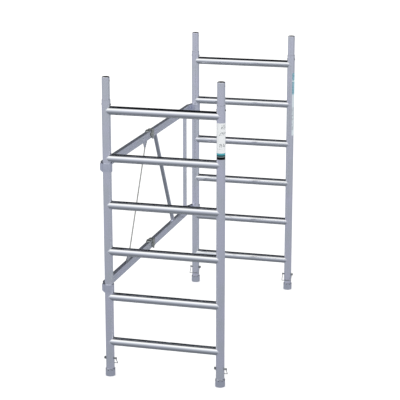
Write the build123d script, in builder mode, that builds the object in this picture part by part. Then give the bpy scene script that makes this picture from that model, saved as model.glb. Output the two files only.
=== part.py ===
"""Fold-out scaffold base: two six-rung ladder frames held apart by a folding side brace."""
from build123d import *
import math
import os

os.makedirs("parts", exist_ok=True)

# Overall layout, in millimetres. X runs across a frame, Y from the front frame to the rear, Z up.
UPRIGHT_SPACING = 680.0        # between the two upright axes of one frame
FRAME_DISTANCE = 1914.0        # between the two frames when unfolded
RUNG_COUNT = 6
RUNG_PITCH = 280.0
LOWEST_RUNG = 217.0            # axis height of the bottom rung

# Uprights and rungs
TUBE_R = 25.4                  # outer radius of uprights and rungs
TUBE_WALL = 2.3
RUNG_WALL = 2.0
TUBE_EDGE = 1.0                # broken outer edge at the top of an upright
SOCKET_REAM = 0.4              # the foot is bored this much wider, to take the spigot of the frame below
SOCKET_DEPTH = 100.0

# Spigots that stand out of the upright tops
SPIGOT_CLEARANCE = 0.25        # radial, in the tube bore of the frame above
SPIGOT_WALL = 3.0
SPIGOT_LENGTH = 132.0          # standing out of the upright
SPIGOT_INSERT = 120.0          # length pressed into the upright's own bore
SPIGOT_ROLL = 5.0              # outer radius of the rolled-in rim
RIM_FLAT = 1.0                 # flat ring left between the roll and the mouth

# Ferrules pressed over the upright feet
FERRULE_WALL = 3.6
FERRULE_HEIGHT = 47.0
FERRULE_EDGE = 1.0             # at the foot
FERRULE_BEVEL = 2.5            # at the upper rim
FERRULE_SCREWS = 8
SCREW_ANGLE = -52.5            # of one screw, from +X towards +Y
SCREW_R = 2.4
SCREW_PROUD = 0.5
SCREW_DROP = 8.0               # below the ferrule's upper rim

# Interlock pins with their wire bails
PIN_HEIGHT = 109.0             # above the foot, and above the shoulder for the matching spigot hole
PIN_R = 4.75
RUNNING_FIT = 0.05             # radial clearance of everything that turns
SPIGOT_PIN_HOLE_R = 5.3
PIN_HEAD_R = 8.5
PIN_HEAD_START = 7.0           # from the tube wall
PIN_HEAD_LENGTH = 4.0
PIN_TIP = 15.5
PIN_TIP_CHAMFER = 1.2
PIN_GROOVE_R = 4.0
PIN_GROOVE_WIDTH = 5.0
PIN_GROOVE_CENTRE = 10.0       # from the tube wall
WIRE_R = 2.0
BAIL_HEAD_EYE = 3.5            # eye centre from the tube wall, head side
BAIL_CORNER = 11.0             # outer bail corner from the tube wall, tip side
BAIL_BACK = 3.0                # crossing wire axis from the tube wall
BAIL_DROP = 40.0

# Rivets through upright and spigot
RIVET_ABOVE_RUNG = 9.6         # axis above the top rung's wall
RIVET_SHANK_R = 3.2
RIVET_HEAD_R = 5.5
RIVET_HEAD = 3.0

# Folding side brace, in a plane just outside the left uprights
RAIL_WIDTH = 27.0
RAIL_HEIGHT = 50.0
RAIL_WALL = 2.0
RAIL_CORNER = 3.0
RAIL_GAP = 3.0                 # between an upright's wall and the rail's inner face
LOWER_COLLAR_RUNG = 1          # rungs between which the collars are held, counted from zero
UPPER_COLLAR_RUNG = 4
LOWER_COLLAR_GAP = 1.6         # above the lower of them
UPPER_COLLAR_GAP = 5.3         # under the upper of them
RAIL_START = 44.0              # rail end from the upright axis
TONGUE_LENGTH = 80.0           # collar tongue inside the rail
TONGUE_CLEARANCE = 0.1
COLLAR_WALL = 5.0
EAR_WIDTH = 14.1               # from the tube's wall
EAR_FRONT = 14.0
EAR_BACK = 6.0
EAR_CHAMFER = 11.0
POCKET_NEAR = 4.6              # from the tube's wall
POCKET_FAR = 11.1
POCKET_LENGTH = 14.0
ROOT_X = 20.0
BRACE_TUBE_R = 13.0
BRACE_TUBE_WALL = 2.0
VERTICAL_TUBE_BACK = 134.0     # from the rear uprights' axis
DIAGONAL_TOP_Y = 117.0         # from the middle of the footprint, as for the rod
DIAGONAL_FOOT_Y = 516.0
ROD_R = 4.0
ROD_TOP_Y = -76.0
ROD_FOOT_Y = -467.0
GUSSET_THICKNESS = 5.0
GUSSET_DEPTH = 42.0
GUSSET_TIP = 11.0              # half the width of the narrow end
UPPER_GUSSET_Y = (-134.0, -46.0)
LOWER_GUSSET_Y = (-524.0, -430.0)

# Hinges at the middle of the brace, with their pins on the outer side
HINGE_GAP = 4.0                # between the two rail ends
HINGE_OFFSET = 6.5             # pin axis from the rail's outer face
KNUCKLE_R = 6.0
HINGE_PIN_R = 3.0
HINGE_PIN_HEAD_R = 5.0
HINGE_PIN_HEAD = 2.5
LEAF_LENGTH = 37.0
LEAF_THICKNESS = 4.0
FLANGE_THICKNESS = 3.0
FLANGE_REACH = 22.0
LEAF_KEEP_OFF = 7.5            # the leaf that does not carry a knuckle starts this far from the pin
KNUCKLE_OUTER = 15.0           # height of the two front knuckles
KNUCKLE_PLAY = 0.4

# Spring catch on the inner face
CATCH_PLATE_LENGTH = 50.0
CATCH_PLATE = 2.5
CATCH_BARREL_R = 5.5
CATCH_BARREL_BORE = 3.0
CATCH_BARREL_BELOW = 5.0
TONGUE_OVERLAP = 17.0
CATCH_TONGUE = 2.5
CATCH_TONGUE_HEIGHT = 22.0
CATCH_TONGUE_GAP = 0.5
PLUNGER_TOP = 5.0
PLUNGER_HEAD_R = 4.5
PLUNGER_HEAD = 4.0

# Small rivets of the brace
SMALL_SHANK_R = 2.4
SMALL_HEAD_R = 4.2
SMALL_HEAD = 1.8
LEAF_RIVET_Y = (16.0, 34.0)    # from the pin axis
TONGUE_RIVET_Y = (24.0, 58.0)  # from the rail end

# Stickers wrapped on the right uprights
LABEL_THICKNESS = 0.3
FRONT_LABEL_LOW = 1371.0
FRONT_LABEL_HIGH = 1580.0
FRONT_LABEL_WIDTH = 62.0
REAR_LABEL_LOW = 1121.0
REAR_LABEL_HIGH = 1559.0
REAR_LABEL_WIDTH = 28.0
FRONT_LABEL_ANGLE = -75.0      # middle of the sticker, from +X towards +Y
REAR_LABEL_ANGLE = -22.0

# Values that follow from the sizes above
HALF_X = UPRIGHT_SPACING / 2
HALF_Y = FRAME_DISTANCE / 2
UPRIGHT_TOP = RUNG_COUNT * RUNG_PITCH
TUBE_BORE = TUBE_R - TUBE_WALL
SOCKET_R = TUBE_BORE + SOCKET_REAM
SPIGOT_R = TUBE_BORE - SPIGOT_CLEARANCE
SPIGOT_TOP = UPRIGHT_TOP + SPIGOT_LENGTH
TOP_RUNG = LOWEST_RUNG + (RUNG_COUNT - 1) * RUNG_PITCH
FRAME_RIVET_HEIGHT = TOP_RUNG + TUBE_R + RIVET_ABOVE_RUNG
FERRULE_R = TUBE_R + FERRULE_WALL
COLLAR_R = TUBE_R + COLLAR_WALL
EAR_REACH = TUBE_R + EAR_WIDTH
POCKET_MIDDLE = TUBE_R + (POCKET_NEAR + POCKET_FAR) / 2
LOWER_RAIL = LOWEST_RUNG + LOWER_COLLAR_RUNG * RUNG_PITCH + TUBE_R + LOWER_COLLAR_GAP + RAIL_HEIGHT / 2
UPPER_RAIL = LOWEST_RUNG + UPPER_COLLAR_RUNG * RUNG_PITCH - TUBE_R - UPPER_COLLAR_GAP - RAIL_HEIGHT / 2
VERTICAL_TUBE_Y = HALF_Y - VERTICAL_TUBE_BACK
RAIL_INNER = TUBE_R + RAIL_GAP
RAIL_OUTER = RAIL_INNER + RAIL_WIDTH
RAIL_X = -HALF_X - (RAIL_INNER + RAIL_OUTER) / 2
RAIL_INNER_X = -HALF_X - RAIL_INNER
RAIL_OUTER_X = -HALF_X - RAIL_OUTER
HINGE_X = RAIL_OUTER_X - HINGE_OFFSET
RAIL_UNDER = UPPER_RAIL - RAIL_HEIGHT / 2
RAIL_OVER = LOWER_RAIL + RAIL_HEIGHT / 2
ROD_LEAN = (ROD_TOP_Y - ROD_FOOT_Y) / (RAIL_UNDER - RAIL_OVER)
RAILS = {"upper": UPPER_RAIL, "lower": LOWER_RAIL}
ENDS = {"front": -1, "rear": 1}
SIDES = {"left": -1, "right": 1}
LOW = (Align.CENTER, Align.CENTER, Align.MIN)


def save(piece, name):
    """Label one finished piece and write its STEP file."""
    piece.label = name
    export_step(piece, "parts/" + name + ".step")


def across(x, y, z):
    """A location whose Z axis points along +X."""
    return Location((x, y, z), (0, 90, 0))


def make_upright(x, y):
    """Tube with a reamed socket at the foot, a broken edge on top and cross holes for pin and rivets."""
    with BuildPart() as upright:
        with Locations((x, y, 0)):
            Cylinder(TUBE_R, UPRIGHT_TOP, align=LOW)
        chamfer(upright.edges().group_by(Axis.Z)[-1], TUBE_EDGE)
        with Locations((x, y, 0)):
            Cylinder(TUBE_BORE, UPRIGHT_TOP, align=LOW, mode=Mode.SUBTRACT)
            Cylinder(SOCKET_R, SOCKET_DEPTH, align=LOW, mode=Mode.SUBTRACT)
        with Locations(across(x, y, PIN_HEIGHT)):
            Cylinder(PIN_R + RUNNING_FIT, 4 * TUBE_R, mode=Mode.SUBTRACT)
        with Locations(across(x, y, FRAME_RIVET_HEIGHT)):
            Cylinder(RIVET_SHANK_R, 4 * TUBE_R, mode=Mode.SUBTRACT)
    return upright.part


def make_rung(y, z):
    """Tube between two uprights, its ends cut to saddles that sit on the upright walls."""
    with BuildPart() as rung:
        with Locations(across(0, y, z)):
            Cylinder(TUBE_R, UPRIGHT_SPACING)
            Cylinder(TUBE_R - RUNG_WALL, UPRIGHT_SPACING, mode=Mode.SUBTRACT)
        with Locations((-HALF_X, y, z), (HALF_X, y, z)):
            Cylinder(TUBE_R, 4 * TUBE_R, mode=Mode.SUBTRACT)
    return rung.part


def make_spigot(x, y):
    """Joining tube pressed and riveted into the upright's top, with a rolled-in rim and an interlock hole."""
    foot = UPRIGHT_TOP - SPIGOT_INSERT
    bore = SPIGOT_R - SPIGOT_WALL
    mouth = SPIGOT_R - SPIGOT_ROLL - RIM_FLAT
    inside = SPIGOT_TOP - SPIGOT_WALL
    with BuildPart() as cavity:
        with Locations((x, y, foot)):
            Cylinder(bore, inside - foot, align=LOW)
        fillet(cavity.edges().group_by(Axis.Z)[-1], bore - mouth - RIM_FLAT / 2)
    with BuildPart() as spigot:
        with Locations((x, y, foot)):
            Cylinder(SPIGOT_R, SPIGOT_TOP - foot, align=LOW)
        fillet(spigot.edges().group_by(Axis.Z)[-1], SPIGOT_ROLL)
        with Locations((x, y, foot)):
            Cylinder(TUBE_BORE, SPIGOT_INSERT, align=LOW)
        add(cavity.part, mode=Mode.SUBTRACT)
        with Locations((x, y, inside)):
            Cylinder(mouth, 2 * SPIGOT_WALL, mode=Mode.SUBTRACT)
        with Locations(across(x, y, UPRIGHT_TOP + PIN_HEIGHT)):
            Cylinder(SPIGOT_PIN_HOLE_R, 4 * TUBE_R, mode=Mode.SUBTRACT)
        with Locations(across(x, y, FRAME_RIVET_HEIGHT)):
            Cylinder(RIVET_SHANK_R, 4 * TUBE_R, mode=Mode.SUBTRACT)
    return spigot.part


def screw_places(x, y):
    """Locations on the upright's wall for one ferrule's set screws, each Z axis pointing outward."""
    centre = Location((x, y, FERRULE_HEIGHT - SCREW_DROP))
    turns = [SCREW_ANGLE + number * 360 / FERRULE_SCREWS for number in range(FERRULE_SCREWS)]
    return [centre * Location((0, 0, 0), (0, 0, turn)) * across(TUBE_R, 0, 0) for turn in turns]


def make_ferrule(x, y):
    """Foot ring drilled for a row of set screws near its upper rim."""
    with BuildPart() as ferrule:
        with Locations((x, y, 0)):
            Cylinder(FERRULE_R, FERRULE_HEIGHT, align=LOW)
        chamfer(ferrule.edges().group_by(Axis.Z)[0], FERRULE_EDGE)
        chamfer(ferrule.edges().group_by(Axis.Z)[-1], FERRULE_BEVEL)
        with Locations((x, y, 0)):
            Cylinder(TUBE_R, FERRULE_HEIGHT, align=LOW, mode=Mode.SUBTRACT)
        with Locations(*screw_places(x, y)):
            Cylinder(SCREW_R, 4 * (FERRULE_R - TUBE_R), mode=Mode.SUBTRACT)
    return ferrule.part


def make_lock_pin(x, y, turn):
    """Interlock pin across an upright, with a head, a groove near the tip and a chamfered tip."""
    start = TUBE_R + PIN_HEAD_START
    with BuildPart() as pin:
        with Locations(across(-start, 0, 0)):
            Cylinder(PIN_R, start + TUBE_R + PIN_TIP, align=LOW)
        chamfer(pin.edges().sort_by(Axis.X)[-1], PIN_TIP_CHAMFER)
        with Locations(across(-start - PIN_HEAD_LENGTH, 0, 0)):
            Cylinder(PIN_HEAD_R, PIN_HEAD_LENGTH, align=LOW)
        chamfer(pin.edges().sort_by(Axis.X)[0], PIN_TIP_CHAMFER)
        with BuildSketch(Plane.YZ.offset(TUBE_R + PIN_GROOVE_CENTRE - PIN_GROOVE_WIDTH / 2)):
            Circle(2 * PIN_R)
            Circle(PIN_GROOVE_R, mode=Mode.SUBTRACT)
        extrude(amount=PIN_GROOVE_WIDTH, mode=Mode.SUBTRACT)
    return Location((x, y, PIN_HEIGHT), (0, 0, turn)) * pin.part


def make_bail(x, y, turn):
    """Wire bail that hangs from both ends of a lock pin and passes behind the upright."""
    head_x = -TUBE_R - BAIL_HEAD_EYE
    tip_x = TUBE_R + PIN_GROOVE_CENTRE
    back = TUBE_R + BAIL_BACK
    reach = math.hypot(back, BAIL_DROP)
    head_ring = PIN_R + RUNNING_FIT + WIRE_R
    tip_ring = PIN_GROOVE_R + RUNNING_FIT + WIRE_R
    corners = [
        Vector(head_x, back * head_ring / reach, -BAIL_DROP * head_ring / reach),
        Vector(head_x, back, -BAIL_DROP),
        Vector(TUBE_R + BAIL_CORNER, back, -BAIL_DROP),
        Vector(tip_x, back * tip_ring / reach, -BAIL_DROP * tip_ring / reach),
    ]
    with BuildPart() as bail:
        with Locations(across(head_x, 0, 0)):
            Torus(head_ring, WIRE_R)
        with Locations(across(tip_x, 0, 0)):
            Torus(tip_ring, WIRE_R)
        for begin, end in zip(corners, corners[1:]):
            with Locations(Plane(origin=begin, z_dir=end - begin)):
                Cylinder(WIRE_R, (end - begin).length, align=LOW)
        with Locations(corners[1], corners[2]):
            Sphere(WIRE_R)
    return Location((x, y, PIN_HEIGHT), (0, 0, turn)) * bail.part


def make_frame_rivets(y):
    """Blind rivets through upright and spigot, and the ferrules' set screws, for one frame."""
    inside = SPIGOT_R - SPIGOT_WALL - 0.5
    with BuildPart() as rivets:
        for x in (-HALF_X, HALF_X):
            for side in (-1, 1):
                with Locations(Location((x + side * inside, y, FRAME_RIVET_HEIGHT), (0, 90 * side, 0))):
                    Cylinder(RIVET_SHANK_R, TUBE_R - inside, align=LOW)
                with Locations(Location((x + side * TUBE_R, y, FRAME_RIVET_HEIGHT), (0, 90 * side, 0))):
                    Cone(RIVET_HEAD_R, RIVET_HEAD_R / 2, RIVET_HEAD, align=LOW)
            with Locations(*screw_places(x, y)):
                Cylinder(SCREW_R, FERRULE_R - TUBE_R + SCREW_PROUD, align=LOW)
    return rivets.part


def make_label(x, y, low, high, width, middle):
    """Sticker lying on part of an upright's wall."""
    half = math.degrees(width / TUBE_R / 2)
    far = 4 * TUBE_R
    turns = [math.radians(turn) for turn in (middle - half, middle, middle + half)]
    fan = [(0, 0)] + [(far * math.cos(turn), far * math.sin(turn)) for turn in turns]
    with BuildPart() as label:
        with BuildSketch(Plane.XY.offset(low)):
            with Locations((x, y)):
                Circle(TUBE_R + LABEL_THICKNESS)
                Circle(TUBE_R, mode=Mode.SUBTRACT)
                Polygon(*fan, align=None, mode=Mode.INTERSECT)
        extrude(amount=high - low)
    return label.part


def make_collar(z, end):
    """Turning collar on a left upright: ring, hollow ear and the tongue that holds a rail."""
    with BuildPart() as collar:
        with BuildSketch(Plane.XY.offset(-RAIL_HEIGHT / 2)):
            Circle(COLLAR_R)
            Polygon(
                (-ROOT_X, -EAR_FRONT),
                (-EAR_REACH, -EAR_FRONT),
                (-EAR_REACH, EAR_BACK),
                (-RAIL_OUTER, RAIL_START),
                (-RAIL_INNER, RAIL_START),
                (-ROOT_X, ROOT_X),
                align=None,
            )
        extrude(amount=RAIL_HEIGHT)
        with BuildSketch(Plane.XZ.offset(-EAR_BACK)):
            Polygon(
                (-EAR_REACH, -RAIL_HEIGHT / 2),
                (EAR_CHAMFER - EAR_REACH, -RAIL_HEIGHT / 2),
                (-EAR_REACH, EAR_CHAMFER - RAIL_HEIGHT / 2),
                align=None,
            )
        extrude(amount=EAR_BACK + EAR_FRONT, mode=Mode.SUBTRACT)
        with BuildSketch(Plane.XY.offset(-RAIL_HEIGHT / 2)):
            Circle(TUBE_R + RUNNING_FIT)
            with Locations((-POCKET_MIDDLE, (EAR_BACK - EAR_FRONT) / 2)):
                Rectangle(POCKET_FAR - POCKET_NEAR, POCKET_LENGTH)
        extrude(amount=RAIL_HEIGHT, mode=Mode.SUBTRACT)
        with Locations((-(RAIL_INNER + RAIL_OUTER) / 2, RAIL_START + TONGUE_LENGTH / 2, 0)):
            Box(
                RAIL_WIDTH - 2 * RAIL_WALL - 2 * TONGUE_CLEARANCE,
                TONGUE_LENGTH,
                RAIL_HEIGHT - 2 * RAIL_WALL - 2 * TONGUE_CLEARANCE,
            )
        for away in TONGUE_RIVET_Y:
            with Locations(across(-(RAIL_INNER + RAIL_OUTER) / 2, RAIL_START + away, 0)):
                Cylinder(SMALL_SHANK_R, 2 * RAIL_WIDTH, mode=Mode.SUBTRACT)
    piece = collar.part if end < 0 else collar.part.mirror(Plane.XZ)
    return Location((-HALF_X, end * HALF_Y, z)) * piece


def make_rail(z, end):
    """Rectangular tube from a collar to the middle hinge, drilled for its rivets."""
    near = HINGE_GAP / 2
    far = HALF_Y - RAIL_START
    with BuildPart() as rail:
        with BuildSketch(Plane((RAIL_X, end * near, z), x_dir=(1, 0, 0), z_dir=(0, end, 0))):
            RectangleRounded(RAIL_WIDTH, RAIL_HEIGHT, RAIL_CORNER)
            Rectangle(RAIL_WIDTH - 2 * RAIL_WALL, RAIL_HEIGHT - 2 * RAIL_WALL, mode=Mode.SUBTRACT)
        extrude(amount=far - near)
        for away in TONGUE_RIVET_Y:
            with Locations(across(RAIL_X, end * (far - away), z)):
                Cylinder(SMALL_SHANK_R, 2 * RAIL_WIDTH, mode=Mode.SUBTRACT)
        for away in LEAF_RIVET_Y:
            with Locations(across(RAIL_OUTER_X, end * away, z)):
                Cylinder(SMALL_SHANK_R, 2 * LEAF_THICKNESS, mode=Mode.SUBTRACT)
    return rail.part


def make_leaf(z, end):
    """Hinge leaf: a channel that clasps the rail's end, with knuckles on the pin axis."""
    outer = RAIL_OUTER_X - LEAF_THICKNESS
    full = RAIL_HEIGHT + 2 * FLANGE_THICKNESS
    inner_half = RAIL_HEIGHT / 2 - KNUCKLE_OUTER
    if end < 0:
        spans = [(inner_half, RAIL_HEIGHT / 2), (-RAIL_HEIGHT / 2, -inner_half)]
        bore = HINGE_PIN_R
    else:
        spans = [(-inner_half + KNUCKLE_PLAY, inner_half - KNUCKLE_PLAY)]
        bore = HINGE_PIN_R + RUNNING_FIT
    with BuildPart() as leaf:
        with Locations((outer, end * (LEAF_KEEP_OFF + LEAF_LENGTH / 2), z)):
            Box(
                LEAF_THICKNESS + FLANGE_REACH,
                LEAF_LENGTH,
                full,
                align=(Align.MIN, Align.CENTER, Align.CENTER),
            )
        with Locations((RAIL_OUTER_X, end * (LEAF_KEEP_OFF + LEAF_LENGTH / 2), z)):
            Box(
                2 * FLANGE_REACH,
                2 * LEAF_LENGTH,
                RAIL_HEIGHT,
                align=(Align.MIN, Align.CENTER, Align.CENTER),
                mode=Mode.SUBTRACT,
            )
        for low, high in spans:
            with Locations((outer, end * LEAF_KEEP_OFF / 2, z + low)):
                Box(LEAF_THICKNESS, LEAF_KEEP_OFF, high - low, align=(Align.MIN, Align.CENTER, Align.MIN))
            with Locations((HINGE_X, 0, z + low)):
                Cylinder(KNUCKLE_R, high - low, align=LOW)
        with Locations((HINGE_X, 0, z)):
            Cylinder(bore, 2 * full, mode=Mode.SUBTRACT)
        for away in LEAF_RIVET_Y:
            with Locations(across(outer, end * away, z)):
                Cylinder(SMALL_SHANK_R, 4 * LEAF_THICKNESS, mode=Mode.SUBTRACT)
    return leaf.part


def make_hinge_pins():
    """The two middle hinge pins, headed at both ends."""
    with BuildPart() as pins:
        for z in RAILS.values():
            with Locations((HINGE_X, 0, z)):
                Cylinder(HINGE_PIN_R, RAIL_HEIGHT)
            for side in (-1, 1):
                with Locations((HINGE_X, 0, z + side * (RAIL_HEIGHT + HINGE_PIN_HEAD) / 2)):
                    Cylinder(HINGE_PIN_HEAD_R, HINGE_PIN_HEAD)
    return pins.part


def make_brace_rivets(end):
    """Rivets of one brace half: two through each collar tongue and two in each hinge leaf."""
    far = HALF_Y - RAIL_START
    with BuildPart() as rivets:
        for z in RAILS.values():
            for away in TONGUE_RIVET_Y:
                with Locations(across(RAIL_X, end * (far - away), z)):
                    Cylinder(SMALL_SHANK_R, RAIL_WIDTH)
                for side in (-1, 1):
                    face_x = RAIL_X + side * RAIL_WIDTH / 2
                    with Locations(Location((face_x, end * (far - away), z), (0, 90 * side, 0))):
                        Cone(SMALL_HEAD_R, SMALL_HEAD_R / 2, SMALL_HEAD, align=LOW)
            for away in LEAF_RIVET_Y:
                with Locations(Location((RAIL_OUTER_X - LEAF_THICKNESS, end * away, z), (0, -90, 0))):
                    Cone(SMALL_HEAD_R, SMALL_HEAD_R / 2, SMALL_HEAD, align=LOW)
                with Locations(across(RAIL_OUTER_X - LEAF_THICKNESS, end * away, z)):
                    Cylinder(SMALL_SHANK_R, LEAF_THICKNESS + RAIL_WALL + 1, align=LOW)
    return rivets.part


def make_web_tube(top, foot, radius, wall):
    """Round member between the two rails, cut flush with their faces. Zero wall means a solid rod."""
    start = Vector(RAIL_X, top, RAIL_UNDER)
    end = Vector(RAIL_X, foot, RAIL_OVER)
    with BuildPart() as member:
        with Locations(Plane(origin=(start + end) * 0.5, z_dir=start - end)):
            Cylinder(radius, (start - end).length + 4 * radius)
            if wall:
                Cylinder(radius - wall, (start - end).length + 4 * radius, mode=Mode.SUBTRACT)
        with Locations((RAIL_X, (top + foot) / 2, (RAIL_UNDER + RAIL_OVER) / 2)):
            Box(4 * radius, FRAME_DISTANCE, RAIL_UNDER - RAIL_OVER, mode=Mode.INTERSECT)
    return member.part


def make_gusset(base, spread, tip_z, tip_y):
    """Plate that flares from the rod to a rail, slotted for the rod."""
    start = Vector(RAIL_X, ROD_TOP_Y, RAIL_UNDER)
    end = Vector(RAIL_X, ROD_FOOT_Y, RAIL_OVER)
    with BuildPart() as gusset:
        with BuildSketch(Plane.YZ.offset(RAIL_X)):
            Polygon(
                (spread[0], base),
                (spread[1], base),
                (tip_y + GUSSET_TIP, tip_z),
                (tip_y - GUSSET_TIP, tip_z),
                align=None,
            )
        extrude(amount=GUSSET_THICKNESS / 2, both=True)
        with Locations(Plane(origin=(start + end) * 0.5, z_dir=start - end)):
            Cylinder(ROD_R, (start - end).length + GUSSET_DEPTH, mode=Mode.SUBTRACT)
    return gusset.part


def tongue_box(z, mode):
    """Space filled by one catch tongue, from over the front rail into the barrel."""
    reach = HINGE_GAP / 2 + TONGUE_OVERLAP
    root = HINGE_GAP / 2 + CATCH_TONGUE
    with Locations((RAIL_INNER_X + CATCH_TONGUE_GAP, (root - reach) / 2, z)):
        Box(
            CATCH_TONGUE,
            reach + root,
            CATCH_TONGUE_HEIGHT,
            align=(Align.MIN, Align.CENTER, Align.CENTER),
            mode=mode,
        )


def make_catch_plates():
    """Plate and vertical barrel on the inner face of each rear rail's end."""
    barrel_x = RAIL_INNER_X + CATCH_BARREL_R
    barrel_y = HINGE_GAP / 2 + CATCH_BARREL_R
    with BuildPart() as plates:
        for z in RAILS.values():
            with Locations((RAIL_INNER_X, HINGE_GAP / 2 + CATCH_PLATE_LENGTH / 2, z)):
                Box(
                    CATCH_PLATE,
                    CATCH_PLATE_LENGTH,
                    RAIL_HEIGHT,
                    align=(Align.MIN, Align.CENTER, Align.CENTER),
                )
            with Locations((barrel_x, barrel_y, z - RAIL_HEIGHT / 2 - CATCH_BARREL_BELOW)):
                Cylinder(CATCH_BARREL_R, RAIL_HEIGHT + CATCH_BARREL_BELOW, align=LOW)
                Cylinder(
                    CATCH_BARREL_BORE,
                    RAIL_HEIGHT + CATCH_BARREL_BELOW,
                    align=LOW,
                    mode=Mode.SUBTRACT,
                )
            tongue_box(z, Mode.SUBTRACT)
    return plates.part


def make_catch_tongues():
    """Flat spring tongues that bridge the gap over the front rails' inner faces, with rolled ends."""
    roll = CATCH_TONGUE
    with BuildPart() as tongues:
        for z in RAILS.values():
            tongue_box(z, Mode.ADD)
            with Locations((RAIL_INNER_X + CATCH_TONGUE_GAP + roll, -HINGE_GAP / 2 - TONGUE_OVERLAP, z)):
                Cylinder(roll, CATCH_TONGUE_HEIGHT)
    return tongues.part


def make_plungers():
    """Plungers that stand in the catch barrels, with a knob on top."""
    barrel_x = RAIL_INNER_X + CATCH_BARREL_R
    barrel_y = HINGE_GAP / 2 + CATCH_BARREL_R
    with BuildPart() as plungers:
        for z in RAILS.values():
            with Locations((barrel_x, barrel_y, z - RAIL_HEIGHT / 2)):
                Cylinder(CATCH_BARREL_BORE, RAIL_HEIGHT + PLUNGER_TOP, align=LOW)
            with Locations((barrel_x, barrel_y, z + RAIL_HEIGHT / 2 + PLUNGER_TOP)):
                Cylinder(PLUNGER_HEAD_R, PLUNGER_HEAD, align=LOW)
            tongue_box(z, Mode.SUBTRACT)
    return plungers.part


# The two ladder frames: the rear one is the front one turned half round
for end_name, end in ENDS.items():
    y = end * HALF_Y
    half_turn = 0 if end < 0 else 180
    for side_name, side in SIDES.items():
        x = side * HALF_X
        place = end_name + "_" + side_name
        save(make_upright(x, y), "upright_" + place)
        save(make_spigot(x, y), "spigot_" + place)
        save(make_ferrule(x, y), "ferrule_" + place)
        save(make_lock_pin(x, y, half_turn), "lock_pin_" + place)
        save(make_bail(x, y, half_turn), "bail_" + place)
    for number in range(RUNG_COUNT):
        rung = make_rung(y, LOWEST_RUNG + number * RUNG_PITCH)
        save(rung, "rung_" + end_name + "_" + str(number + 1))
    save(make_frame_rivets(y), "frame_rivets_" + end_name)

# The folding brace on the left side
for end_name, end in ENDS.items():
    for level, z in RAILS.items():
        place = end_name + "_" + level
        save(make_collar(z, end), "collar_" + place)
        save(make_rail(z, end), "rail_" + place)
        save(make_leaf(z, end), "hinge_leaf_" + place)
    save(make_brace_rivets(end), "brace_rivets_" + end_name)
save(make_hinge_pins(), "hinge_pins")
save(make_web_tube(VERTICAL_TUBE_Y, VERTICAL_TUBE_Y, BRACE_TUBE_R, BRACE_TUBE_WALL), "vertical_tube")
save(make_web_tube(DIAGONAL_TOP_Y, DIAGONAL_FOOT_Y, BRACE_TUBE_R, BRACE_TUBE_WALL), "diagonal_tube")
save(make_web_tube(ROD_TOP_Y, ROD_FOOT_Y, ROD_R, 0), "tie_rod")
upper_tip = ROD_TOP_Y - GUSSET_DEPTH * ROD_LEAN
lower_tip = ROD_FOOT_Y + GUSSET_DEPTH * ROD_LEAN
save(make_gusset(RAIL_UNDER, UPPER_GUSSET_Y, RAIL_UNDER - GUSSET_DEPTH, upper_tip), "rod_gusset_upper")
save(make_gusset(RAIL_OVER, LOWER_GUSSET_Y, RAIL_OVER + GUSSET_DEPTH, lower_tip), "rod_gusset_lower")
save(make_catch_plates(), "catch_plates")
save(make_catch_tongues(), "catch_tongues")
save(make_plungers(), "catch_plungers")

# Stickers
save(
    make_label(HALF_X, -HALF_Y, FRONT_LABEL_LOW, FRONT_LABEL_HIGH, FRONT_LABEL_WIDTH, FRONT_LABEL_ANGLE),
    "label_front",
)
save(
    make_label(HALF_X, HALF_Y, REAR_LABEL_LOW, REAR_LABEL_HIGH, REAR_LABEL_WIDTH, REAR_LABEL_ANGLE),
    "label_rear",
)
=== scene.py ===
# %% [markdown]
# # A fold-out aluminium scaffold base
#
# Two ladder frames of drawn tube stand apart, joined on one side by a folding brace.
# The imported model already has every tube, hinge and pin at its real size, so this lesson
# gives each of them the finish of the real metal, adds the weld beads that a solid model
# leaves out, and sets up a small daylight studio.

# %% Load the frame
import math

import bmesh
import bpy
from mathutils import Matrix, Vector


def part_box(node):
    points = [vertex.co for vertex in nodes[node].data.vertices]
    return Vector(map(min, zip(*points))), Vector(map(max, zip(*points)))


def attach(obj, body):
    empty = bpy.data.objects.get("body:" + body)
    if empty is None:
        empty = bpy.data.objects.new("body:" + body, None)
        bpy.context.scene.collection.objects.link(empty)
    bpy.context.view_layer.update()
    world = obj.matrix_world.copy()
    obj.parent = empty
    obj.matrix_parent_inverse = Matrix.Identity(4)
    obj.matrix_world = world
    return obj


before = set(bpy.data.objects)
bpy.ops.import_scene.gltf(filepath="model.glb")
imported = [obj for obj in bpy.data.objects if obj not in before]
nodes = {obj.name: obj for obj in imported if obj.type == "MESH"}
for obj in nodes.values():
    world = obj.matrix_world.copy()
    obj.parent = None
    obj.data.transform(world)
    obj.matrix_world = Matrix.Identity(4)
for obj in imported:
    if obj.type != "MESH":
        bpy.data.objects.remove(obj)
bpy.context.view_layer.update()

# %% [markdown]
# ## Sizes shared by the pieces
#
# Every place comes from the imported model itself. An upright's box gives its axis and the
# tube radius, and each rung's box gives its height, so a change of size in the model
# carries through to the beads and stickers.

# %% Measure the tubes
def centre_of(node):
    """Middle of a node's box."""
    low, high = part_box(node)
    return (low + high) / 2


def size_of(node):
    """Sides of a node's box."""
    low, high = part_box(node)
    return high - low


SPIGOT_LIP = 0.0021  # from a spigot's widest radius in to where its painted shade begins

tube_radius = size_of("upright_front_left").x / 2
rung_names = sorted(n for n in nodes if n.startswith("rung_"))
print("tube radius mm", round(tube_radius * 1000, 2), "rungs", len(rung_names))

# %% [markdown]
# ## Colour and node helpers
#
# Colours are written as sRGB hex, as a paint chart gives them, while the shader works in
# linear light, so one function turns them over. A second function adds a node with its
# settings and its links, which keeps each recipe short enough to read as a list.

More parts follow.
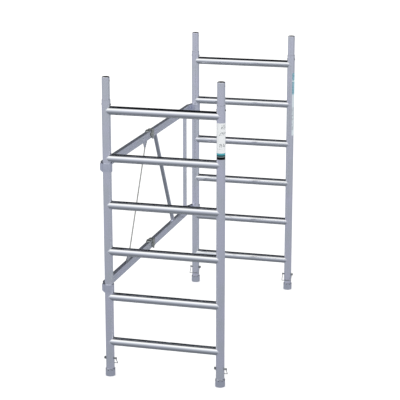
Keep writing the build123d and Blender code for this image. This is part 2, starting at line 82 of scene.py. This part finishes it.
# %% Helpers for materials
def linear(hex_code):
    """sRGB hex to linear red, green, blue and alpha."""
    channels = [int(hex_code[i : i + 2], 16) / 255 for i in (1, 3, 5)]
    turned = [c / 12.92 if c <= 0.04045 else ((c + 0.055) / 1.055) ** 2.4 for c in channels]
    return (*turned, 1.0)


def add(tree, kind, inputs=None, stops=(), **settings):
    """Adds a node. A value is set on its input, an output socket is linked to it, and stops colour a ramp."""
    node = tree.nodes.new(kind)
    for name, value in settings.items():
        setattr(node, name, value)
    for number, (position, hex_code) in enumerate(stops):
        elements = node.color_ramp.elements
        stop = elements[number] if number < 2 else elements.new(position)
        stop.position, stop.color = position, linear(hex_code)
    for key, value in (inputs or {}).items():
        socket = node.inputs[key]
        if isinstance(value, bpy.types.NodeSocket):
            tree.links.new(value, socket)
        else:
            socket.default_value = value
    return node


def start(name):
    """A new material with its tree, its shader and the object's own coordinates."""
    material = bpy.data.materials.new(name)
    material.use_nodes = True
    tree = material.node_tree
    tree.nodes.clear()
    shader = add(tree, "ShaderNodeBsdfPrincipled")
    add(tree, "ShaderNodeOutputMaterial", {"Surface": shader.outputs[0]})
    place = add(tree, "ShaderNodeTexCoord").outputs["Object"]
    return material, tree, shader, place


print("linear mid grey", [round(c, 3) for c in linear("#808080")])

# %% [markdown]
# ## Drawn aluminium
#
# The tubes are 6000-series aluminium, pulled through a die and left as mill finish. The
# die leaves fine lines along the tube, about a quarter of a millimetre apart, and
# handling leaves cloudier patches a few centimetres across. The lines are drawn here at
# 2 mm, coarser than life, so that they show at this distance. A noise stretched along the
# tube's own direction gives the lines, and an even noise gives the clouding. Inside a
# spigot's mouth, over the bore and the inner part of its rolled lip, a dark grey is painted
# as shade. The four uprights mirror each other, so the distance from one axis finds the
# inside of all of them.

# %% Drawn aluminium recipe
tube_axis = centre_of("upright_rear_right")


def drawn_aluminium(name, cool, warm, along, rough, line_mm=2.0, cloud_mm=140.0, depth=0.00004, bore=0.0):
    """Metal with draw lines along one axis, soft clouding between two greys, and painted shade inside a
    tube's mouth.
    """
    material, tree, shader, place = start(name)
    across_scale = 1000 / line_mm
    scale = [across_scale] * 3
    scale["XYZ".index(along)] = across_scale / 120
    stretched = add(tree, "ShaderNodeMapping", {"Vector": place, "Scale": scale})
    lines = add(tree, "ShaderNodeTexNoise", {"Vector": stretched.outputs[0], "Scale": 1.0, "Detail": 3.0})
    clouds = add(tree, "ShaderNodeTexNoise", {"Vector": place, "Scale": 1000 / cloud_mm, "Detail": 4.0})
    tint = add(tree, "ShaderNodeValToRGB", {"Fac": clouds.outputs["Fac"]}, stops=[(0.38, warm), (0.62, cool)])
    line_tone = add(
        tree,
        "ShaderNodeMapRange",
        {"Value": lines.outputs["Fac"], "To Min": 0.93, "To Max": 1.05},
    )
    colour = add(
        tree,
        "ShaderNodeVectorMath",
        {0: tint.outputs[0], "Scale": line_tone.outputs[0]},
        operation="SCALE",
    )
    surface = colour.outputs[0]
    if bore:
        mirrored = add(tree, "ShaderNodeVectorMath", {0: place}, operation="ABSOLUTE")
        from_axis = add(
            tree,
            "ShaderNodeVectorMath",
            {0: mirrored.outputs[0], 1: tube_axis},
            operation="SUBTRACT",
        )
        level = add(
            tree,
            "ShaderNodeVectorMath",
            {0: from_axis.outputs[0], 1: (1, 1, 0)},
            operation="MULTIPLY",
        )
        radius = add(tree, "ShaderNodeVectorMath", {0: level.outputs[0]}, operation="LENGTH")
        # Painted shade: every point nearer the axis than bore, the mouth and inner lip, turns dark grey.
        inside = add(tree, "ShaderNodeMath", {0: radius.outputs["Value"], 1: bore}, operation="LESS_THAN")
        painted_mouth_shade = add(
            tree,
            "ShaderNodeMix",
            {"Factor": inside.outputs[0], "A": surface, "B": linear("#3A3B3E")},
            data_type="RGBA",
        )
        surface = painted_mouth_shade.outputs["Result"]
    tree.links.new(surface, shader.inputs["Base Color"])
    mixed = add(tree, "ShaderNodeMath", {0: lines.outputs["Fac"], 1: clouds.outputs["Fac"]}, operation="ADD")
    gloss = add(
        tree,
        "ShaderNodeMapRange",
        {"Value": mixed.outputs[0], "From Max": 2.0, "To Min": rough * 0.7, "To Max": rough * 1.3},
    )
    tree.links.new(gloss.outputs[0], shader.inputs["Roughness"])
    bump = add(tree, "ShaderNodeBump", {"Height": lines.outputs["Fac"], "Distance": depth, "Strength": 0.5})
    tree.links.new(bump.outputs[0], shader.inputs["Normal"])
    shader.inputs["Metallic"].default_value = 1.0
    return material


# Mill-finish tube: a satin lavender grey that drifts a little along its length.
upright_metal = drawn_aluminium("drawn_aluminium_upright", "#F6F5FF", "#F2F4F6", "Z", 0.24)
# Swaged spigot: the same tube, with a dark grey painted as shade over its lip and bore, so they look nearly
# black from above.
spigot_bore = size_of("spigot_rear_right").x / 2 - SPIGOT_LIP
spigot_metal = drawn_aluminium("drawn_aluminium_spigot", "#F6F5FF", "#F2F4F6", "Z", 0.24, bore=spigot_bore)
# Bright drawn tube: close to a mirror, so the room shows on it as hard dark and white bands.
rung_metal = drawn_aluminium("bright_drawn_aluminium_rung", "#FCFCFF", "#FAFBFB", "X", 0.05, depth=0.000006)
# Extruded box tube: flat satin faces, with lines that run along the rail.
rail_metal = drawn_aluminium("extruded_aluminium_rail", "#E8E9F4", "#DFE3E6", "Y", 0.26)
# Thin-walled drawn tube of the web: duller, so its edges stay soft.
web_metal = drawn_aluminium("drawn_aluminium_web", "#F3F4FB", "#ECEFF2", "Z", 0.34)
print("made", [m.name for m in (upright_metal, spigot_metal, rung_metal, rail_metal, web_metal)])

# %% [markdown]
# ## Pressed and extruded fittings
#
# The ferrules and the turning collars are cut from extrusion and tumbled, which leaves a
# matt, slightly pebbled surface with no direction. Grit marks about half a millimetre
# across are drawn as a small even bump over a slow change of tone.

# %% Tumbled aluminium recipe
def tumbled_aluminium(name, tone, rough, grit_mm=1.2):
    """Matt fitting metal with a fine even grain."""
    material, tree, shader, place = start(name)
    grit = add(tree, "ShaderNodeTexNoise", {"Vector": place, "Scale": 1000 / grit_mm, "Detail": 2.0})
    patch = add(tree, "ShaderNodeTexNoise", {"Vector": place, "Scale": 1000 / 25.0, "Detail": 3.0})
    shade = add(tree, "ShaderNodeMapRange", {"Value": patch.outputs["Fac"], "To Min": 0.90, "To Max": 1.06})
    colour = add(
        tree,
        "ShaderNodeVectorMath",
        {0: linear(tone)[:3], "Scale": shade.outputs[0]},
        operation="SCALE",
    )
    tree.links.new(colour.outputs[0], shader.inputs["Base Color"])
    gloss = add(
        tree,
        "ShaderNodeMapRange",
        {"Value": grit.outputs["Fac"], "To Min": rough - 0.06, "To Max": rough + 0.08},
    )
    tree.links.new(gloss.outputs[0], shader.inputs["Roughness"])
    bump = add(tree, "ShaderNodeBump", {"Height": grit.outputs["Fac"], "Distance": 0.00005, "Strength": 0.4})
    tree.links.new(bump.outputs[0], shader.inputs["Normal"])
    shader.inputs["Metallic"].default_value = 1.0
    return material


# Pressed ring: a shade darker than the tube it grips.
ferrule_metal = tumbled_aluminium("tumbled_aluminium_ferrule", "#E2E4EC", 0.32)
# Sawn and tumbled extrusion: even and matt, so collar and tube read as one grey.
collar_metal = tumbled_aluminium("tumbled_aluminium_collar", "#E8EAF4", 0.30)
# Domed heads: small bright points on the rails.
rivet_metal = tumbled_aluminium("domed_aluminium_rivet", "#E0E1E6", 0.28)
print("made", ferrule_metal.name, collar_metal.name, rivet_metal.name)

# %% [markdown]
# ## Zinc plated steel
#
# Hinges, catch parts, pins and wire bails are steel with a passivated zinc coat. The
# passivation gives the grey a faint green and yellow cast that drifts from place to
# place, over a spangle a few millimetres across.

# %% Zinc plate recipe
def zinc_plate(name, pale, deep, rough):
    """Plated steel: spangle in the gloss and a drifting olive cast."""
    material, tree, shader, place = start(name)
    spangle = add(tree, "ShaderNodeTexVoronoi", {"Vector": place, "Scale": 1000 / 4.0})
    drift = add(tree, "ShaderNodeTexNoise", {"Vector": place, "Scale": 1000 / 18.0, "Detail": 3.0})
    tint = add(tree, "ShaderNodeValToRGB", {"Fac": drift.outputs["Fac"]}, stops=[(0.32, deep), (0.68, pale)])
    tree.links.new(tint.outputs[0], shader.inputs["Base Color"])
    gloss = add(
        tree,
        "ShaderNodeMapRange",
        {"Value": spangle.outputs["Distance"], "To Min": rough - 0.08, "To Max": rough + 0.10},
    )
    tree.links.new(gloss.outputs[0], shader.inputs["Roughness"])
    bump = add(tree, "ShaderNodeBump", {"Height": drift.outputs["Fac"], "Distance": 0.00006, "Strength": 0.4})
    tree.links.new(bump.outputs[0], shader.inputs["Normal"])
    shader.inputs["Metallic"].default_value = 1.0
    return material


# Stamped leaves and catch: pale, with an olive cast in the shadows.
hinge_metal = zinc_plate("zinc_plated_steel_hinge", "#DCDED8", "#B2B4AA", 0.38)
# Bent wire and turned pins: mid grey, dark where they face the ceiling.
wire_metal = zinc_plate("zinc_plated_steel_wire", "#B9BCBC", "#8E9293", 0.36)
# Straight rod: a thin neutral grey line between the rails.
rod_metal = zinc_plate("zinc_plated_steel_rod", "#BDBDBA", "#A3A39D", 0.30)
# Rivets and set screws in a near-black steel grey, which show as dark dots.
black_steel = zinc_plate("near_black_steel_rivet", "#34363A", "#1B1C1F", 0.42)
print("made", hinge_metal.name, wire_metal.name, rod_metal.name, black_steel.name)

# %% [markdown]
# ## Printed stickers
#
# A sticker is printed vinyl with a dulled film over it. The print is plain bands that
# follow the height on the upright: white paper with a few small grey blocks, then
# teal, then black with a pale line. Each band is a step in height, mixed over the last.
# A band's heights are in metres from the sticker's own foot or top.

# %% Banded vinyl recipe
INK_SHARE = 0.34  # how much of each cell of small print is inked


def vinyl(name, ground, bands):
    """Sticker of one ground colour. A band has its heights, colour, size of print and left edge."""
    material, tree, shader, place = start(name)
    corner = add(tree, "ShaderNodeSeparateXYZ", {"Vector": place})
    fade = add(tree, "ShaderNodeTexNoise", {"Vector": place, "Scale": 1000 / 30.0, "Detail": 3.0})
    shade = add(tree, "ShaderNodeMapRange", {"Value": fade.outputs["Fac"], "To Min": 0.94, "To Max": 1.02})
    colour = add(
        tree,
        "ShaderNodeVectorMath",
        {0: linear(ground)[:3], "Scale": shade.outputs[0]},
        operation="SCALE",
    )
    colour = colour.outputs[0]
    for low, high, hex_code, print_mm, from_x in bands:
        above = add(tree, "ShaderNodeMath", {0: corner.outputs["Z"], 1: low}, operation="GREATER_THAN")
        below = add(tree, "ShaderNodeMath", {0: corner.outputs["Z"], 1: high}, operation="LESS_THAN")
        right = add(tree, "ShaderNodeMath", {0: corner.outputs["X"], 1: from_x}, operation="GREATER_THAN")
        inside = add(tree, "ShaderNodeMath", {0: above.outputs[0], 1: below.outputs[0]}, operation="MULTIPLY")
        painted = add(
            tree,
            "ShaderNodeMath",
            {0: inside.outputs[0], 1: right.outputs[0]},
            operation="MULTIPLY",
        )
        if print_mm:
            cells = add(
                tree,
                "ShaderNodeTexVoronoi",
                {"Vector": place, "Scale": 1000 / print_mm, "Randomness": 0.6},
                distance="CHEBYCHEV",
            )
            ink = add(
                tree,
                "ShaderNodeMath",
                {0: cells.outputs["Distance"], 1: INK_SHARE},
                operation="LESS_THAN",
            )
            painted = add(
                tree,
                "ShaderNodeMath",
                {0: painted.outputs[0], 1: ink.outputs[0]},
                operation="MULTIPLY",
            )
        mix = add(
            tree,
            "ShaderNodeMix",
            {"Factor": painted.outputs[0], "A": colour, "B": linear(hex_code)},
            data_type="RGBA",
        )
        colour = mix.outputs["Result"]
    tree.links.new(colour, shader.inputs["Base Color"])
    gloss = add(tree, "ShaderNodeMapRange", {"Value": fade.outputs["Fac"], "To Min": 0.36, "To Max": 0.48})
    tree.links.new(gloss.outputs[0], shader.inputs["Roughness"])
    shader.inputs["IOR"].default_value = 1.5
    shader.inputs["Specular IOR Level"].default_value = 0.15
    return material


front_low, front_high = (corner.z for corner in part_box("label_front"))
rear_low, rear_high = (corner.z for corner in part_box("label_rear"))
right_axis = centre_of("upright_front_right").x
left_edge = right_axis - 2 * tube_radius
# Glossy print: white with grey blocks, teal and black bands at the foot.
front_vinyl = vinyl(
    "printed_vinyl_front",
    "#EAEDEF",
    [
        (front_low, front_low + 0.0150, "#010204", 0, left_edge),
        (front_low + 0.0150, front_low + 0.0170, "#A9B2B4", 0, left_edge),
        (front_low + 0.0170, front_low + 0.0270, "#22545B", 0, left_edge),
        (front_low + 0.0270, front_low + 0.0370, "#4FA6B3", 0, left_edge),
        (front_low + 0.058, front_low + 0.064, "#A5ABAD", 5.0, left_edge),
        (front_low + 0.072, front_low + 0.092, "#5E6466", 8.0, right_axis - 0.003),
        (front_low + 0.140, front_low + 0.160, "#6C7274", 7.0, right_axis - 0.005),
        (front_low + 0.174, front_low + 0.200, "#8A8F91", 6.0, right_axis + 0.006),
    ],
)
# Sun-faded print: pale teal above, off-white below.
rear_vinyl = vinyl(
    "printed_vinyl_rear",
    "#D3DEE4",
    [
        (rear_high - 0.149, rear_high, "#8FB7C6", 0, left_edge),
        (rear_high - 0.149, rear_high, "#5B94A5", 16.0, left_edge),
        (rear_high - 0.060, rear_high - 0.052, "#DDE8EA", 0, left_edge),
        (rear_low + 0.040, rear_low + 0.200, "#9AA0A8", 8.0, right_axis),
    ],
)
print("stickers", round(front_high - front_low, 3), round(rear_high - rear_low, 3))

# %% [markdown]
# ## Give every node its finish
#
# The first word of a node's name says what it is, so one table sends each node to its
# material. The solids keep their meshes, and only the material in their slots changes.

# %% Assign materials
finishes = {
    "upright": upright_metal,
    "rung": rung_metal,
    "spigot": spigot_metal,
    "ferrule": ferrule_metal,
    "lock": wire_metal,
    "bail": wire_metal,
    "frame": black_steel,
    "collar": collar_metal,
    "rail": rail_metal,
    "hinge": hinge_metal,
    "catch": hinge_metal,
    "brace": rivet_metal,
    "vertical": web_metal,
    "diagonal": web_metal,
    "tie": rod_metal,
    "rod": web_metal,
}
stickers = {"label_front": front_vinyl, "label_rear": rear_vinyl}
for name, node in nodes.items():
    material = stickers.get(name) or finishes[name.split("_")[0]]
    node.data.materials.clear()
    node.data.materials.append(material)
print("finished", len(nodes))

# %% [markdown]
# ## Weld beads
#
# Each rung is cut to a saddle and welded all round. Tube and rung have the same radius,
# so the joint line is a circle round the rung whose points slide along it by their own
# height. A small ring is spun round the rung's axis and then sheared by that rule. The
# real bead is a row of overlapping ripples, which an even grit bump about 3 mm across stands in for.

# %% Weld bead mesh
BEAD_RADIUS = 0.0013
BEAD_SIDES = 8
BEAD_STEPS = 72


def add_bead(mesh, centre, side):
    """One saddle-shaped bead where a rung meets an upright."""
    ring = bmesh.ops.create_circle(mesh, segments=BEAD_SIDES, radius=BEAD_RADIUS, cap_ends=False)["verts"]
    bmesh.ops.rotate(mesh, verts=ring, cent=(0, 0, 0), matrix=Matrix.Rotation(math.radians(90), 3, "X"))
    bmesh.ops.translate(mesh, verts=ring, vec=(0, 0, tube_radius))
    edges = list({e for v in ring for e in v.link_edges})
    bmesh.ops.spin(
        mesh,
        geom=ring + edges,
        cent=(0, 0, 0),
        axis=(1, 0, 0),
        angle=math.radians(360),
        steps=BEAD_STEPS,
        use_merge=True,
    )
    for v in [v for v in mesh.verts if not v.tag]:
        v.tag = True
        v.co.x += abs(v.co.z)
        v.co.x *= side
        v.co += centre


def weld_beads(end, body):
    """All beads of one ladder frame as one piece."""
    mesh = bmesh.new()
    for name in [n for n in rung_names if end in n]:
        middle = centre_of(name)
        for side in (1, -1):
            upright = centre_of("upright_" + end + ("_left" if side > 0 else "_right"))
            add_bead(mesh, Vector((upright.x, middle.y, middle.z)), side)
    bmesh.ops.remove_doubles(mesh, verts=mesh.verts, dist=1e-6)
    bmesh.ops.recalc_face_normals(mesh, faces=mesh.faces)
    data = bpy.data.meshes.new("weld_beads_" + end)
    mesh.to_mesh(data)
    mesh.free()
    data.shade_smooth()
    piece = bpy.data.objects.new("weld_beads_" + end, data)
    bpy.context.scene.collection.objects.link(piece)
    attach(piece, body)
    return piece


# %% Make the beads
# Cast-looking bead: bright, with an even 3 mm grit bump standing in for the ripples from the welder's steps.
bead_metal = tumbled_aluminium("weld_bead_aluminium", "#E6E8F0", 0.26, grit_mm=3.0)
for end in ("front", "rear"):
    beads = weld_beads(end, end + "_frame")
    beads.data.materials.append(bead_metal)
    print(beads.name, "faces", len(beads.data.polygons))

# %% [markdown]
# ## Studio
#
# Polished tube shows little of its own colour: what the eye reads is the room. Seen in
# the metal, this room is bright in front at about forty degrees up, falls to a dark
# ceiling behind, and is an even lavender grey below the horizon. Light that falls on
# matt surfaces comes from an even white dome instead.

# %% World
world = bpy.data.worlds.new("studio")
bpy.context.scene.world = world
world.use_nodes = True
sky = world.node_tree
sky.nodes.clear()
direction = add(sky, "ShaderNodeTexCoord").outputs["Generated"]
parts = add(sky, "ShaderNodeSeparateXYZ", {"Vector": direction})
rise = add(sky, "ShaderNodeMapRange", {"Value": parts.outputs["Z"], "From Min": -1.0, "From Max": 1.0})
ahead = add(
    sky,
    "ShaderNodeValToRGB",
    {"Fac": rise.outputs[0]},
    stops=[
        (0.0, "#6E7379"),
        (1.0, "#0E1013"),
        (0.16, "#747983"),
        (0.375, "#A4A8B3"),
        (0.50, "#C6CAD4"),
        (0.62, "#E6EBF3"),
        (0.72, "#FFFFFF"),
        (0.86, "#FFFFFF"),
        (0.922, "#A8ACB1"),
        (0.955, "#26292D"),
    ],
)
behind = add(
    sky,
    "ShaderNodeValToRGB",
    {"Fac": rise.outputs[0]},
    stops=[
        (0.0, "#6E7379"),
        (1.0, "#0E1013"),
        (0.18, "#7C8089"),
        (0.375, "#A5A9B4"),
        (0.48, "#A0A4AD"),
        (0.55, "#63676E"),
        (0.66, "#5A5D64"),
        (0.76, "#15171A"),
    ],
)
back = add(sky, "ShaderNodeMapRange", {"Value": parts.outputs["Y"], "From Min": -0.05, "From Max": 0.15})
room = add(
    sky,
    "ShaderNodeMix",
    {"Factor": back.outputs[0], "A": ahead.outputs[0], "B": behind.outputs[0]},
    data_type="RGBA",
)
path = add(sky, "ShaderNodeLightPath")
matt = add(
    sky,
    "ShaderNodeMix",
    {"Factor": path.outputs["Is Camera Ray"], "A": linear("#DADADA"), "B": linear("#FFFFFF")},
    data_type="RGBA",
)
seen = add(
    sky,
    "ShaderNodeMix",
    {"Factor": path.outputs["Is Glossy Ray"], "A": matt.outputs["Result"], "B": room.outputs["Result"]},
    data_type="RGBA",
)
glow = add(sky, "ShaderNodeBackground", {"Color": seen.outputs["Result"], "Strength": 1.05})
add(sky, "ShaderNodeOutputWorld", {"Surface": glow.outputs[0]})
bpy.context.scene.view_settings.view_transform = "Standard"
print("world nodes", len(sky.nodes))

# %% [markdown]
# ## Floor, light and camera
#
# The floor is a wide pale sheet, bright enough to meet the white room without a line. A
# large soft lamp in front gives matt parts a little shape. The camera stands well back
# with a long lens, to the right of the frames and above them.

# %% Floor
FLOOR_REACH = 40.0  # metres from the middle to each edge
sheet = bmesh.new()
bmesh.ops.create_grid(sheet, x_segments=1, y_segments=1, size=FLOOR_REACH)
floor_mesh = bpy.data.meshes.new("floor")
sheet.to_mesh(floor_mesh)
sheet.free()
floor = bpy.data.objects.new("floor", floor_mesh)
floor.visible_glossy = False
bpy.context.scene.collection.objects.link(floor)
paper, paper_tree, paper_shader, paper_place = start("pale_paper_floor")
mottle = add(paper_tree, "ShaderNodeTexNoise", {"Vector": paper_place, "Scale": 2.0, "Detail": 2.0})
pale = add(
    paper_tree,
    "ShaderNodeValToRGB",
    {"Fac": mottle.outputs["Fac"]},
    stops=[(0.3, "#F8F8F8"), (0.7, "#FCFCFC")],
)
paper_tree.links.new(pale.outputs[0], paper_shader.inputs["Base Color"])
paper_shader.inputs["Roughness"].default_value = 1.0
paper_shader.inputs["Specular IOR Level"].default_value = 0.0
paper_shader.inputs["Emission Color"].default_value = linear("#FFFFFF")
paper_shader.inputs["Emission Strength"].default_value = 0.45
floor_mesh.materials.append(paper)
print("floor side m", floor.dimensions.x)

# %% Lamp and camera
lamp_data = bpy.data.lights.new("front_softbox", "AREA")
lamp_data.shape = "RECTANGLE"
lamp_data.size, lamp_data.size_y = 4.0, 3.0
lamp_data.energy = 40.0
lamp = bpy.data.objects.new("front_softbox", lamp_data)
lamp.location = (3.0, -6.0, 5.0)
lamp.rotation_euler = (Vector((0, 0, 0.9)) - lamp.location).to_track_quat("-Z", "Y").to_euler()
lamp.visible_glossy = False
bpy.context.scene.collection.objects.link(lamp)

camera_data = bpy.data.cameras.new("camera")
camera_data.sensor_width = 36.0
camera_data.lens = 127.835
camera_data.clip_end = 200.0
camera = bpy.data.objects.new("camera", camera_data)
camera.location = (2.29638, -8.53387, 3.15736)
camera.rotation_euler = (math.pi / 2 - 0.25332, 0.0, 0.26782)
bpy.context.scene.collection.objects.link(camera)
bpy.context.scene.camera = camera
print("camera distance m", round(camera.location.length, 2))
